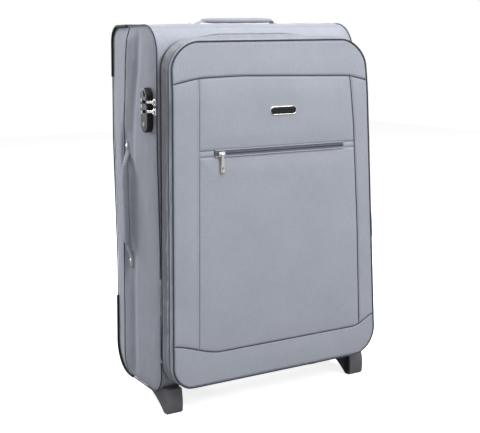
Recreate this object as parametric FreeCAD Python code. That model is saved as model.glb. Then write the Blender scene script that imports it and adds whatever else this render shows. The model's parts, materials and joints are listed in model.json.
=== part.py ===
"""Softside upright suitcase on two wheels, built as separate sewn, moulded and metal pieces.

Millimetres. +X is to the right of a person facing the front, -Y is the front, +Z is up.
The origin is on the ground, under the middle of the case's box.
"""
import FreeCAD, Part
import math
import os

V = FreeCAD.Vector

# ---------------------------------------------------------------- driving dimensions
mid_x = 2.5                 # the case's middle plane: the side handle makes the left the wider half

# fabric case
case_half = 235.0           # middle plane to the outside of a side panel
case_front = -78.0          # front edge of the side panels
case_back = 134.0
case_bottom = 38.0
case_top = 757.0
wall = 4.0                  # foam-backed fabric
corner_front_top = 55.0     # corner radii of the side panels
corner_front_bottom = 40.0
corner_back_bottom = 60.0
corner_back_top = 30.0
piping_r = 1.6
fabric_gap = 0.3

# lid
lid_top = 732.0
lid_bottom = 59.0
lid_left_top = -223.0       # the lid is wider at its foot than at its head
lid_left_bottom = -239.0
lid_right_top = 219.0
lid_right_bottom = 243.0
lid_corner = 62.0
border_front = -81.2        # front face of the border that the main zip is sewn to
zip_plane = -83.0           # where the main zip's two tapes meet
expansion_plane = -112.0    # where the lid parts when the case is let out
lid_front = -127.0          # outside of the lid's foam board
skin = 1.2                  # fabric over the foam board
gusset = 3.0                # thickness of the lid's side walls

# running gear
wheel_r = 29.0
wheel_half = 12.0
wheel_x = 165.0
wheel_y = 104.0

# telescopic handle
tube_x = 100.0
tube_y = 110.0
outer_tube_r = 10.0
middle_tube_r = 8.6
inner_tube_r = 7.2
tube_wall = 1.1
bezel_floor = 708.0
grip_bottom = 729.0
grip_top = 751.0

# carrying handles
side_handle_y = 61.0
side_handle_z = 400.0
side_rivet_reach = 118.0
top_handle_y = 38.0
top_rivet_reach = 102.0
handle_width = 24.0
handle_lift = 5.0           # gap for the fingers with the handle at rest

# combination lock
lock_y = -49.0
lock_z = 597.0
lock_half_width = 15.5
lock_half_height = 43.0
lock_depth = 13.0
channel_z = (613.0, 595.0)  # the two channels that take the zip pulls

# front panel
pocket_zip_z = 512.0
strip_left = -174.0         # inner edges of the strips at the sides of the front
strip_right = 189.0
yoke_z = 658.0
band_z = 122.0


# ---------------------------------------------------------------- helpers
def save(node, *solids):
    """Write one sub-part; more than one solid makes a group."""
    for solid in solids:
        solid.translate(V(mid_x, 0, 0))
    shape = solids[0] if len(solids) == 1 else Part.makeCompound(list(solids))
    shape.exportStep("parts/" + node + ".step")


def block(x0, x1, y0, y1, z0, z1):
    return Part.makeBox(x1 - x0, y1 - y0, z1 - z0, V(x0, y0, z0))


def rod(radius, start, end):
    start = V(*start)
    along = V(*end) - start
    return Part.makeCylinder(radius, along.Length, start, along)


def hollow_rod(radius, bore, start, end):
    return rod(radius, start, end).cut(rod(bore, start, end))


def rounded_wire(corners, place):
    """Closed outline through corners of (u, v, radius); place turns (u, v) into a 3-D point."""
    count = len(corners)
    pieces = []
    ends = []
    for i, (u, v, radius) in enumerate(corners):
        here = V(u, v, 0)
        back = (V(corners[i - 1][0], corners[i - 1][1], 0) - here).normalize()
        ahead = (V(corners[(i + 1) % count][0], corners[(i + 1) % count][1], 0) - here).normalize()
        if radius <= 0:
            ends.append((here, here, None))
            continue
        half = back.getAngle(ahead) / 2
        reach = radius / math.tan(half)
        centre = here + (back + ahead).normalize() * (radius / math.sin(half))
        middle = centre + (here - centre).normalize() * radius
        ends.append((here + back * reach, here + ahead * reach, middle))
    for i, (start, end, middle) in enumerate(ends):
        if middle is not None:
            pieces.append(Part.Arc(place(start), place(middle), place(end)).toShape())
        following = ends[(i + 1) % count][0]
        if end.distanceToPoint(following) > 1e-6:
            pieces.append(Part.makeLine(place(end), place(following)))
    return Part.Wire(pieces)


def across_x(corners, x0, x1):
    """Solid of an outline in the (y, z) plane, from x0 to x1."""
    wire = rounded_wire(corners, lambda p: V(x0, p.x, p.y))
    return Part.Face(wire).extrude(V(x1 - x0, 0, 0))


def across_y(corners, y0, y1):
    """Solid of an outline in the (x, z) plane, from y0 to y1."""
    wire = rounded_wire(corners, lambda p: V(p.x, y0, p.y))
    return Part.Face(wire).extrude(V(0, y1 - y0, 0))


def cord_round(wire, radius):
    """Round cord that follows a closed outline, as piping does."""
    edge = wire.Edges[0]
    start = edge.valueAt(edge.FirstParameter)
    circle = Part.Wire(Part.makeCircle(radius, start, edge.tangentAt(edge.FirstParameter)))
    return wire.makePipeShell([circle], True, True)


def case_corners(inset):
    """Side view of the case, pulled in by inset all round."""
    return [(case_front + inset, case_bottom + inset, corner_front_bottom - inset),
            (case_back - inset, case_bottom + inset, corner_back_bottom - inset),
            (case_back - inset, case_top - inset, corner_back_top - inset),
            (case_front + inset, case_top - inset, corner_front_top - inset)]


def lid_corners(inset):
    """Front view of the lid, pulled in by inset all round."""
    radius = lid_corner - inset
    return [(lid_left_bottom + inset, lid_bottom + inset, radius),
            (lid_right_bottom - inset, lid_bottom + inset, radius),
            (lid_right_top - inset, lid_top - inset, radius),
            (lid_left_top + inset, lid_top - inset, radius)]


def lid_ring(outer_inset, inner_inset, y0, y1):
    return across_y(lid_corners(outer_inset), y0, y1).cut(across_y(lid_corners(inner_inset), y0, y1))


def stadium(half_length, half_width):
    """Corners of a bar with fully rounded ends, centred on (0, 0) with its length along v."""
    radius = half_width - 0.01
    return [(-half_width, -half_length, radius), (half_width, -half_length, radius),
            (half_width, half_length, radius), (-half_width, half_length, radius)]


def moved(corners, du, dv):
    return [(u + du, v + dv, radius) for u, v, radius in corners]


def softened(solid, radius):
    """Round every edge of a simple solid."""
    return solid.makeFillet(radius, solid.Edges)


def mirrored(solid):
    return solid.mirror(V(0, 0, 0), V(1, 0, 0))


def right_wall(z):
    """Outside of the lid's right wall at height z."""
    share = (z - lid_bottom) / (lid_top - lid_bottom)
    return lid_right_bottom + share * (lid_right_top - lid_right_bottom)


# ---------------------------------------------------------------- fabric case
bezel_half = 128.0
bezel_front = 94.0
well_half = wheel_half + 4.0
well_front = 70.0
well_top = 66.0
well_wall = 2.5


def bezel_block(slack):
    return block(-bezel_half - slack, bezel_half + slack, bezel_front - slack, case_back + 10,
                 bezel_floor - slack, case_top + 10)


def well_blocks(slack):
    grow = well_half + slack
    both = [block(side * wheel_x - grow, side * wheel_x + grow, well_front - slack, case_back + 10,
                  0, well_top + slack) for side in (-1, 1)]
    return both[0].fuse(both[1])


def side_piping(side, radius):
    """Round cord along the edge of a side panel."""
    seam_x = side * (case_half + 1.2)
    return cord_round(rounded_wire(case_corners(-1.3), lambda p: V(seam_x, p.x, p.y)), radius)


def make_case():
    inner_half = case_half - wall
    side = across_x(case_corners(0), -case_half, -inner_half)
    save("left_side_panel", side)
    save("right_side_panel", mirrored(across_x(case_corners(0), -case_half, -inner_half)))

    band = across_x(case_corners(0), -inner_half, inner_half)
    band = band.cut(across_x(case_corners(wall), -inner_half, inner_half))
    band = band.cut(bezel_block(fabric_gap))
    band = band.cut(well_blocks(well_wall + fabric_gap))
    shoulder = case_top - corner_back_top
    heel = case_bottom + corner_back_bottom
    top = band.common(block(-case_half, case_half, case_front, case_back + 1, shoulder, case_top + 1))
    save("top_panel", top.cut(block(-case_half, case_half, case_front - 1, 0, 0, 738)))
    save("back_panel", band.common(block(-case_half, case_half, 100, case_back + 1, heel, shoulder)))
    bottom = band.common(block(-case_half, case_half, case_front, case_back + 1, 0, heel))
    save("bottom_panel", bottom.cut(block(-case_half, case_half, case_front - 1, 0, 53, 200)))

    edge = inner_half - fabric_gap
    low = 53.3
    high = 740.0
    outer = [(-edge, low, 30), (edge, low, 30), (edge, high, 12), (-edge, high, 12)]
    border_back = -67.3
    frame = across_y(outer, border_front, border_back)
    save("front_border", frame.cut(across_y(lid_corners(10), border_front, border_back)))

    save("edge_piping", side_piping(-1, piping_r), side_piping(1, piping_r))


def make_inside():
    side = case_half - wall - 5
    lining = across_x(case_corners(7), -side, side).cut(across_x(case_corners(8), -side + 1, side - 1))
    lining = lining.cut(block(-case_half, case_half, -100, -64, 0, 800))
    lining = lining.cut(bezel_block(2))
    save("lining", lining.cut(well_blocks(well_wall + 1)))

    wire_r = 1.3
    low = case_bottom + wall + 1.5
    high = case_top - wall - 1.5
    reach = case_half - wall - 2.5
    loops = []
    for y in (-22, 60):
        corners = [(-reach, low, 3), (reach, low, 3), (reach, high, 3), (-reach, high, 3)]
        loops.append(cord_round(rounded_wire(corners, lambda p: V(p.x, y, p.y)), wire_r))
    save("frame_hoops", *loops)

    board = block(-215, 215, 127.6, 129.4, 105, bezel_floor - 4)
    save("back_board", board)

    cover_half = tube_x + outer_tube_r + 6
    cover = block(-cover_half, cover_half, 96, 125.5, 72, bezel_floor - 3)
    hollow = block(-cover_half + 1.5, cover_half - 1.5, 97.5, 126, 70, bezel_floor)
    cover = cover.cut(hollow)
    save("tube_cover", cover.common(across_x(case_corners(8.3), -case_half, case_half)))


housing_screws = ((208, 120), (208, 165), (150, 120), (150, 165))
guard_face = case_back + 4.0


def screw_recess(x, z):
    """Counterbore for a screw head in a guard's back face."""
    return rod(4.1, (x, guard_face - 1.3, z), (x, guard_face + 1, z))


def make_guards():
    """Moulded guards over the case's back corners, and the housings that carry the wheels."""
    top = across_x(case_corners(-4), -233, -190).cut(across_x(case_corners(-0.3), -233, -190))
    top = top.common(block(-240, -180, 60, 150, 664, 800))
    top = top.cut(screw_recess(-212, 690))
    save("corner_guards", top, mirrored(top))

    inner = wheel_x - 35
    shell = across_x(case_corners(-4), -233, -inner).cut(across_x(case_corners(-0.3), -233, -inner))
    shell = shell.common(block(-240, 0, 60, 150, 20, 186))
    box = block(-wheel_x - well_half - well_wall, -wheel_x + well_half + well_wall,
                well_front - well_wall, case_back - 2, case_bottom - 3.5, well_top + well_wall)
    housing = shell.fuse(box)
    room = block(-wheel_x - well_half, -wheel_x + well_half, well_front, case_back + 10, 0, well_top)
    housing = housing.cut(room)
    for side in (-1, 1):
        x0 = -wheel_x + side * (wheel_half + 1.0)
        x1 = -wheel_x + side * (well_half + 0.5)
        cheek = across_x([(80, 38, 3), (84, 20, 6), (124, 20, 10), (128, 42, 3)], min(x0, x1), max(x0, x1))
        housing = housing.fuse(cheek)
    bore = rod(3.05, (-wheel_x - 25, wheel_y, wheel_r), (-wheel_x + 25, wheel_y, wheel_r))
    for x, z in housing_screws:
        housing = housing.cut(screw_recess(-x, z))
    housing = housing.cut(bore).removeSplitter()
    save("wheel_housings", housing, mirrored(housing))


def make_wheels():
    axles = []
    for side, name in ((-1, "left"), (1, "right")):
        x = side * wheel_x
        low = x - wheel_half
        high = x + wheel_half
        at = (wheel_y, wheel_r)
        core = rod(wheel_r - 5, (low + 1, *at), (high - 1, *at))
        for face in (low + 1, high - 1 - 5):
            recess = hollow_rod(wheel_r - 8, 8, (face, *at), (face + 5, *at))
            core = core.cut(recess)
        core = core.cut(rod(3.05, (low, *at), (high, *at)))
        save(name + "_wheel", core)
        tyre = hollow_rod(wheel_r, wheel_r - 5, (low, *at), (high, *at))
        outer = [edge for edge in tyre.Edges
                 if edge.Curve.TypeId == "Part::GeomCircle" and edge.Curve.Radius > wheel_r - 1]
        save(name + "_tyre", tyre.makeFillet(3.0, outer))
        shaft = rod(3.0, (x - well_half, *at), (x + well_half, *at))
        axles.append(shaft)
    save("wheel_axles", *axles)


def make_feet():
    """Curved front feet, hollow on the side that faces the middle of the case."""
    reach = corner_front_bottom + fabric_gap
    centre_y = case_front + corner_front_bottom
    centre_z = case_bottom + corner_front_bottom
    step = 50.0
    y_step = centre_y - math.sqrt(reach ** 2 - (centre_z - step) ** 2)
    seat = case_bottom - fabric_gap

    def profile(x, shrink):
        def at(y, z):
            return V(x, y, z)
        s = shrink
        heel = at(8 - 6 * s, seat - s)
        under = at(centre_y, seat - s)
        angle = math.radians(235)
        on_arc = at(centre_y + (reach + s) * math.cos(angle), centre_z + (reach + s) * math.sin(angle))
        top_back = at(y_step - s, step - s)
        top_front = at(-90 + s, step - s)
        toe_high = at(-94 + s, 26)
        toe_low = at(-92 + s, 4 + s)
        sole_front = at(-88 + s, s)
        sole_back = at(-75 - s * 0.4, s)
        instep = at(-40 - s * 0.2, 22 + s)
        lip = at(8 - 6 * s, 34.5 + s * 0.3)
        return Part.Wire([
            Part.makeLine(heel, under),
            Part.Arc(under, on_arc, top_back).toShape(),
            Part.makeLine(top_back, top_front),
            Part.Arc(top_front, toe_high, toe_low).toShape(),
            Part.makeLine(toe_low, sole_front),
            Part.makeLine(sole_front, sole_back),
            Part.Arc(sole_back, instep, lip).toShape(),
            Part.makeLine(lip, heel)])

    outside = -236.0
    inside = -203.0
    foot = Part.Face(profile(outside, 0)).extrude(V(inside - outside, 0, 0))
    pocket = block(outside + 3, inside + 1, -88, -69, 4, 45)
    pocket = pocket.common(Part.Face(profile(outside + 3, 2.6)).extrude(V(inside - outside, 0, 0)))
    foot = foot.cut(pocket)
    foot = foot.cut(side_piping(-1, piping_r + 0.3))
    foot_screws = ((219, -20), (219, -2))
    for x, y in foot_screws:
        foot = foot.cut(rod(3.3, (-x, y, 20), (-x, y, 33.5)))
    save("feet", foot, mirrored(foot))

    heads = []
    for side in (-1, 1):
        for x, y in foot_screws:
            heads.append(rod(3.2, (side * x, y, 33.5), (side * x, y, 31.5)))
        for x, z in housing_screws + ((212, 690),):
            heads.append(rod(4.0, (side * x, guard_face - 1.3, z), (side * x, guard_face - 0.1, z)))
    save("fixing_screws", *heads)


# ---------------------------------------------------------------- telescopic handle
def pair_of_tubes(radius, low, high):
    bore = radius - tube_wall
    return [hollow_rod(radius, bore, (side * tube_x, tube_y, low), (side * tube_x, tube_y, high))
            for side in (-1, 1)]


def make_telescopic_handle():
    floor = 3.0
    tray = block(-bezel_half, bezel_half, bezel_front, case_back, bezel_floor, case_top + 5)
    tray = tray.cut(block(-bezel_half + 5, bezel_half - 5, bezel_front + 3, case_back + 5,
                          bezel_floor + floor, case_top + 10))
    tray = tray.common(across_x(case_corners(0), -bezel_half, bezel_half))
    for side in (-1, 1):
        tray = tray.cut(rod(middle_tube_r + 0.3, (side * tube_x, tube_y, 700), (side * tube_x, tube_y, 720)))
    save("handle_bezel", tray)

    save("outer_tubes", *pair_of_tubes(outer_tube_r, 76, bezel_floor))
    save("middle_tubes", *pair_of_tubes(middle_tube_r, 80, bezel_floor + floor + 2))
    save("inner_tubes", *pair_of_tubes(inner_tube_r, 86, grip_bottom))

    grip = block(-118, 118, 99, 121, grip_bottom, grip_top)
    grip = softened(grip, 5)
    channel = block(-104, 104, 106.5, 113.5, grip_bottom + 5, grip_top - 9.2)
    grip = grip.cut(channel)
    grip = grip.cut(across_z_slot(14.4, 6.4, tube_y, grip_top - 14, grip_top + 1))
    for side in (-1, 1):
        x = side * tube_x
        grip = grip.cut(rod(3, (x, tube_y, grip_bottom - 1), (x, tube_y, grip_bottom + 6)))
    save("trolley_grip", grip)

    save("grip_button", across_z_slot(14, 6, tube_y, grip_top - 10, grip_top + 2))
    rods = block(-102, 102, 108.5, 111.5, grip_top - 13, grip_top - 10)
    for side in (-1, 1):
        rods = rods.fuse(rod(1.4, (side * tube_x, tube_y, grip_top - 12), (side * tube_x, tube_y, 160)))
    save("release_rods", rods)


def across_z_slot(half_length, half_width, y, z0, z1):
    """Bar with rounded ends along X, from z0 to z1."""
    radius = half_width - 0.01
    corners = [(-half_length, y - half_width, radius), (half_length, y - half_width, radius),
               (half_length, y + half_width, radius), (-half_length, y + half_width, radius)]
    wire = rounded_wire(corners, lambda p: V(p.x, p.y, z0))
    return Part.Face(wire).extrude(V(0, 0, z1 - z0))


# ---------------------------------------------------------------- carrying handles
def make_carrying_handles():
    grip_thick = 11.0
    half_length = 82.0
    half_width = handle_width / 2

    low_x = -case_half - handle_lift - grip_thick
    side_grip = block(low_x, low_x + grip_thick, side_handle_y - half_width, side_handle_y + half_width,
                      side_handle_z - half_length, side_handle_z + half_length)
    save("side_handle_grip", softened(side_grip, 5))
    top_grip = block(-half_length, half_length, top_handle_y - half_width, top_handle_y + half_width,
                     case_top + handle_lift, case_top + handle_lift + grip_thick)
    save("top_handle_grip", softened(top_grip, 5))

    strap = 2.5
    strap_half = 10.0
    face = 0.3
    tail = 14.0

    def strap_end(reach):
        """Strap from under the rivet up to the end of the grip: (distance along, height)."""
        rise = half_length + fabric_gap
        low = handle_lift + 3.0
        return [(reach + tail, face, 0), (reach - 6, face, 0), (rise, low, 0),
                (rise, low + strap, 0), (reach - 5.4, face + strap, 0), (reach + tail, face + strap, 0)]

    side_straps = []
    top_straps = []
    rivets = []
    for way in (-1, 1):
        wire = rounded_wire(strap_end(side_rivet_reach),
                            lambda p: V(-case_half - p.y, side_handle_y - strap_half, side_handle_z + way * p.x))
        strap_piece = Part.Face(wire).extrude(V(0, 2 * strap_half, 0))
        z = side_handle_z + way * side_rivet_reach
        through = rod(2.5, (-case_half, side_handle_y, z), (-case_half - 4, side_handle_y, z))
        side_straps.append(strap_piece.cut(through))
        rivets.append(rivet((-case_half - face - strap, side_handle_y, z), V(-1, 0, 0)))

        wire = rounded_wire(strap_end(top_rivet_reach),
                            lambda p: V(way * p.x, top_handle_y - strap_half, case_top + p.y))
        strap_piece = Part.Face(wire).extrude(V(0, 2 * strap_half, 0))
        x = way * top_rivet_reach
        through = rod(2.5, (x, top_handle_y, case_top), (x, top_handle_y, case_top + 4))
        top_straps.append(strap_piece.cut(through))
        rivets.append(rivet((x, top_handle_y, case_top + face + strap), V(0, 0, 1)))
    save("side_handle_strap", *side_straps)
    save("top_handle_strap", *top_straps)
    save("handle_rivets", *rivets)


def rivet(seat, out):
    """Domed head with a short shank, standing on seat."""
    seat = V(*seat)
    shank = Part.makeCylinder(2.4, 2.6, seat - out * 2.6, out)
    head = Part.makeCylinder(5.5, 1.0, seat, out)
    dome = Part.makeSphere(9.0, seat - out * 6.6)
    head = head.fuse(dome.common(Part.makeCylinder(5.5, 4.0, seat + out * 0.5, out)))
    return head.fuse(shank).removeSplitter()


# ---------------------------------------------------------------- combination lock
def make_lock():
    back = -case_half - 0.3
    face = back - lock_depth
    outline = moved(stadium(lock_half_height, lock_half_width), lock_y, lock_z)
    body = across_x(outline, face, back)
    outer_edges = [edge for edge in body.Edges
                   if all(abs(vertex.X - face) < 1e-6 for vertex in edge.Vertexes)]
    body = body.makeFillet(2.5, outer_edges)
    channel_end = lock_y + 4.5
    for z in channel_z:
        body = body.cut(block(face - 1, face + 5.6, lock_y - 20, channel_end, z - 3.2, z + 3.2))

    dial_r = 4.8
    dial_half = 3.2
    dial_x = face + 4.0
    dial_y = lock_y + 9.8
    dial_z = (lock_z - 4, lock_z + 8, lock_z + 20)
    for number, z in enumerate(dial_z):
        dial = rod(dial_r, (dial_x, dial_y, z - dial_half), (dial_x, dial_y, z + dial_half))
        for step in range(10):
            angle = math.radians(36 * step)
            notch = (dial_x + (dial_r + 0.5) * math.cos(angle), dial_y + (dial_r + 0.5) * math.sin(angle))
            dial = dial.cut(rod(0.9, (*notch, z - 4), (*notch, z + 4)))
        dial = dial.cut(rod(1.05, (dial_x, dial_y, z - 4), (dial_x, dial_y, z + 4)))
        save("lock_dial_" + str(number + 1), dial)
        room = dial_half + 0.3
        body = body.cut(rod(dial_r + 0.3, (dial_x, dial_y, z - room), (dial_x, dial_y, z + room)))
    body = body.fuse(rod(1.0, (dial_x, dial_y, dial_z[0] - 5), (dial_x, dial_y, dial_z[-1] + 5)))

    button_z = lock_z + 31.0
    body = body.cut(rod(4.8, (face - 1, lock_y, button_z), (face + 8, lock_y, button_z)))
    save("lock_button", rod(4.5, (face - 1.2, lock_y, button_z), (face + 5, lock_y, button_z)))

    key_z = lock_z - 27.0
    body = body.cut(rod(4.3, (face - 1, lock_y, key_z), (face + 9, lock_y, key_z)))
    barrel = rod(4.22, (face - 0.8, lock_y, key_z), (face + 9, lock_y, key_z))
    barrel = barrel.cut(block(face - 1, face + 3, lock_y - 0.6, lock_y + 0.6, key_z - 2.8, key_z + 2.8))
    save("key_cylinder", barrel)
    save("lock_body", body.removeSplitter())


# ---------------------------------------------------------------- lid
hinge_low = 125.0
hinge_high = 668.0


def make_lid():
    hinge_side = block(190, 260, -90, -70, hinge_low, hinge_high)
    save("case_zip_tape", lid_ring(2, 11, zip_plane, border_front).cut(hinge_side))
    save("lid_zip_tape", lid_ring(1, 9, -86, zip_plane - fabric_gap).cut(hinge_side))
    strip_side = block(190, 260, -90, -70, hinge_low + 1, hinge_high - 1)
    save("hinge_strip", lid_ring(1, 9, -85.7, border_front).common(strip_side))

    save("rear_gusset", lid_ring(0, gusset, expansion_plane, -86))
    save("front_gusset", lid_ring(0, gusset, lid_front + 1.8, expansion_plane - fabric_gap))
    save("expansion_gusset", lid_ring(gusset + 0.5, gusset + 2.0, -117, -107))
    outline = rounded_wire(lid_corners(-0.6), lambda p: V(p.x, lid_front - skin + 0.4, p.y))
    save("front_piping", cord_round(outline, 2.2))
    save("lid_board", across_y(lid_corners(gusset + 0.2), lid_front, lid_front + 7))

    cloth = across_y(lid_corners(2.2), lid_front - skin, lid_front)
    upper_edge = pocket_zip_z + 7.5
    lower_edge = pocket_zip_z - 7.5
    far = 300.0

    def cut_out(x0, x1, z0, z1):
        return cloth.common(block(x0, x1, lid_front - 5, lid_front + 1, z0, z1))
    save("front_yoke", cut_out(-far, far, yoke_z, 800))
    save("front_band", cut_out(-far, far, 0, band_z))
    left_strip = cut_out(-far, strip_left, band_z, yoke_z)
    right_strip = cut_out(strip_right, far, band_z, yoke_z)
    save("front_side_strips", left_strip, right_strip)
    save("front_centre", cut_out(strip_left, strip_right, upper_edge, yoke_z))
    save("front_pocket", cut_out(strip_left, strip_right, band_z, lower_edge))
    save("pocket_zip", cut_out(strip_left, strip_right, lower_edge, upper_edge))

    badge = across_y([(-16, 580, 8.5), (46, 580, 8.5), (46, 597.2, 8.5), (-16, 597.2, 8.5)],
                     lid_front - skin - 2.2, lid_front - skin)
    save("badge", badge)


# ---------------------------------------------------------------- zip sliders and their pulls
slider_base = 3.2           # height of a slider's body, from its seat
pin_lift = 5.4              # height of the pin that holds the pull
pin_r = 0.8
pin_bore = 0.88


def slanted_block(centre, a, half_a, b, half_b, out, low, high):
    """Block with half sizes along unit vectors a and b, from low to high along out."""
    corner = centre - a * half_a - b * half_b + out * low
    points = [corner, corner + a * (2 * half_a), corner + a * (2 * half_a) + b * (2 * half_b),
              corner + b * (2 * half_b), corner]
    return Part.Face(Part.makePolygon(points)).extrude(out * (high - low))


def make_slider(centre, pin_way, other, out, half_pin_way, half_other):
    """Zip slider: a body on the coil, and two ears with the pin for its pull."""
    body = slanted_block(centre, pin_way, half_pin_way, other, half_other, out, 0, slider_base)
    for end in (-1, 1):
        ear = centre + pin_way * (end * 3.2)
        ear_block = slanted_block(ear, pin_way, 0.6, other, 1.4, out, slider_base - 0.5, pin_lift + 1.2)
        body = body.fuse(ear_block)
    pin = Part.makeCylinder(pin_r, 7.0, centre + out * pin_lift - pin_way * 3.5, pin_way)
    return body.fuse(pin).removeSplitter()


def make_pull(centre, pin_way, down, out, length, width, thick):
    """Pull: a knuckle on the slider's pin and a tab that widens to a slotted end."""
    pin = centre + out * pin_lift
    half_eye = 2.2
    half_end = width / 2

    def at(p):
        return pin + pin_way * p.x + down * p.y - out * (thick / 2)
    outline = [(-half_eye, 0.5, 0), (half_eye, 0.5, 0), (half_end, length, 1.8), (-half_end, length, 1.8)]
    tab = Part.Face(rounded_wire(outline, at)).extrude(out * thick)
    slot_half = half_end * 0.4
    slot = [(-slot_half, length - 9, 0.8), (slot_half, length - 9, 0.8),
            (slot_half, length - 5, 0.8), (-slot_half, length - 5, 0.8)]
    tab = tab.cut(Part.Face(rounded_wire(slot, at)).extrude(out * thick))
    tab = tab.fuse(Part.makeCylinder(1.8, 2 * half_eye, pin - pin_way * half_eye, pin_way))
    return tab.cut(Part.makeCylinder(pin_bore, 8.0, pin - pin_way * 4, pin_way)).removeSplitter()


def make_sliders():
    left = V(-1, 0, 0)
    right = V(1, 0, 0)
    front = V(0, -1, 0)
    back = V(0, 1, 0)
    up = V(0, 0, 1)
    down = V(0, 0, -1)

    main = []
    for z, name in zip(channel_z, ("upper", "lower")):
        seat = V(-case_half - 3.2, zip_plane, z)
        main.append(make_slider(seat, up, back, left, 6.5, 4.5))
        save("main_pull_" + name, make_pull(seat, up, back, left, 37, 5.6, 1.6))
    save("main_sliders", *main)

    seat = V(-125.0, lid_front - skin - 0.3, pocket_zip_z)
    save("pocket_slider", make_slider(seat, right, up, front, 6, 4))
    save("pocket_pull", make_pull(seat, right, down, front, 31, 8, 1.6))

    lean = (lid_right_top - lid_right_bottom) / (lid_top - lid_bottom)
    along = V(lean, 0, 1).normalize()
    outward = V(1, 0, -lean).normalize()
    seat = V(right_wall(288.0), expansion_plane, 288.0) + outward * 0.6
    save("expansion_slider", make_slider(seat, front, along, outward, 4, 6.5))
    save("expansion_pull", make_pull(seat, front, along * -1, outward, 30, 7, 1.6))


os.makedirs("parts", exist_ok=True)
make_case()
make_inside()
make_guards()
make_wheels()
make_feet()
make_telescopic_handle()
make_carrying_handles()
make_lock()
make_lid()
make_sliders()
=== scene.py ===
import json
import math
import bpy
import numpy as np
from mathutils import Matrix, Vector


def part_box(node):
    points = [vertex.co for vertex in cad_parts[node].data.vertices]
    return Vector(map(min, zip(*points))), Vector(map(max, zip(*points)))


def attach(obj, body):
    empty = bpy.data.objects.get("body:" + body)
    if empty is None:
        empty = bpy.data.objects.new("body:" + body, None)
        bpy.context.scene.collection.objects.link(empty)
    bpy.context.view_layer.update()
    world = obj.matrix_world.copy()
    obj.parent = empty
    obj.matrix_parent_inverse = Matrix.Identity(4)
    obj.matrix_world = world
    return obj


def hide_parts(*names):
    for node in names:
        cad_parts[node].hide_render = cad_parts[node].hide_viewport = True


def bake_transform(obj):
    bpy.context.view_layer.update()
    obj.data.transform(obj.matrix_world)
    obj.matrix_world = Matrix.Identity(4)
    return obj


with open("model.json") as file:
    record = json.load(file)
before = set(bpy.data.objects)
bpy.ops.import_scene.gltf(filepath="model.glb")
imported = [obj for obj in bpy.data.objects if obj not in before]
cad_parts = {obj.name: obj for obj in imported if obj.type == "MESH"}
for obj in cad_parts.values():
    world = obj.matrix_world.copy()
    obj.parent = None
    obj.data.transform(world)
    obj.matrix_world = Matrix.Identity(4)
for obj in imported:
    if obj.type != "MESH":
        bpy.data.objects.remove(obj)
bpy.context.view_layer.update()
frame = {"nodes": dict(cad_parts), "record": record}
nodes = frame["nodes"]

# ---------------- sizes, in millimetres from the case's middle plane
MIDDLE = 2.5                # the middle plane's place along x
CASE_HALF = 235.0
CASE_FRONT, CASE_BACK, CASE_LOW, CASE_TOP = -78, 134, 38, 757
# side view: (y, z, radius)
CASE = [(CASE_FRONT, CASE_LOW, 40), (CASE_BACK, CASE_LOW, 60),
        (CASE_BACK, CASE_TOP, 30), (CASE_FRONT, CASE_TOP, 55)]
RADII = [corner[2] for corner in CASE]
LID_TOP = 732.0
LID_BOTTOM = 59.0
LID_TOP_RADIUS = 62
# front view: (x, z, radius)
LID = [(-239, LID_BOTTOM, 46), (243, LID_BOTTOM, 56),
       (219, LID_TOP, LID_TOP_RADIUS), (-223, LID_TOP, LID_TOP_RADIUS)]
MAIN_ZIP = -83.0
LET_OUT_ZIP = -112.0
FACE = -128.2               # cloth on the lid's front
YOKE_Z = 658.0
BAND_Z = 122.0
POCKET_ZIP_Z = 512.0
SIDE_HANDLE_Y = 61.0
TOP_HANDLE_Y = 38.0
HANDLE_Z = 400.0            # the middle of the side handle
SLIDER_Z = 276.0            # the let-out zip's slider and its pull
POCKET_ZIP_ENDS = (-139, 160)
LINING_HALF = 226
FRONT = (0, -1, 0)          # the way the lid's front looks


def metres(points):
    points = np.array(points, float) / 1000.0
    points[..., 0] += MIDDLE / 1000.0
    return points


def ease(x, a, b):
    t = np.clip((np.asarray(x, float) - a) / (b - a), 0, 1)
    return t * t * (3 - 2 * t)


def ripple(a, b, size, seed):
    """Soft uneven waves about size millimetres long, mostly between -1 and 1."""
    draw = np.random.default_rng(seed)
    total = 0.0
    for _ in range(8):
        turn, phase = draw.uniform(0, math.pi), draw.uniform(0, 2 * math.pi)
        per = 2 * math.pi * draw.uniform(0.6, 1.7) / size
        total = total + np.sin((a * math.cos(turn) + b * math.sin(turn)) * per + phase)
    return total / 3.4


def steps(a, b, count):
    """Even steps from a towards b, without b."""
    return np.linspace(a, b, count, endpoint=False)


def marked_steps(marks, counts):
    """Steps that land on every mark, the last one included."""
    runs = [steps(a, b, count) for a, b, count in zip(marks, marks[1:], counts)]
    return np.concatenate(runs + [marks[-1:]])


def gathered(count, share):
    """Steps from 0 to 1 that lie closer together at both ends; share says how much."""
    even = np.linspace(0, 1, count)
    return share * (1 - np.cos(math.pi * even)) / 2 + (1 - share) * even


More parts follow.
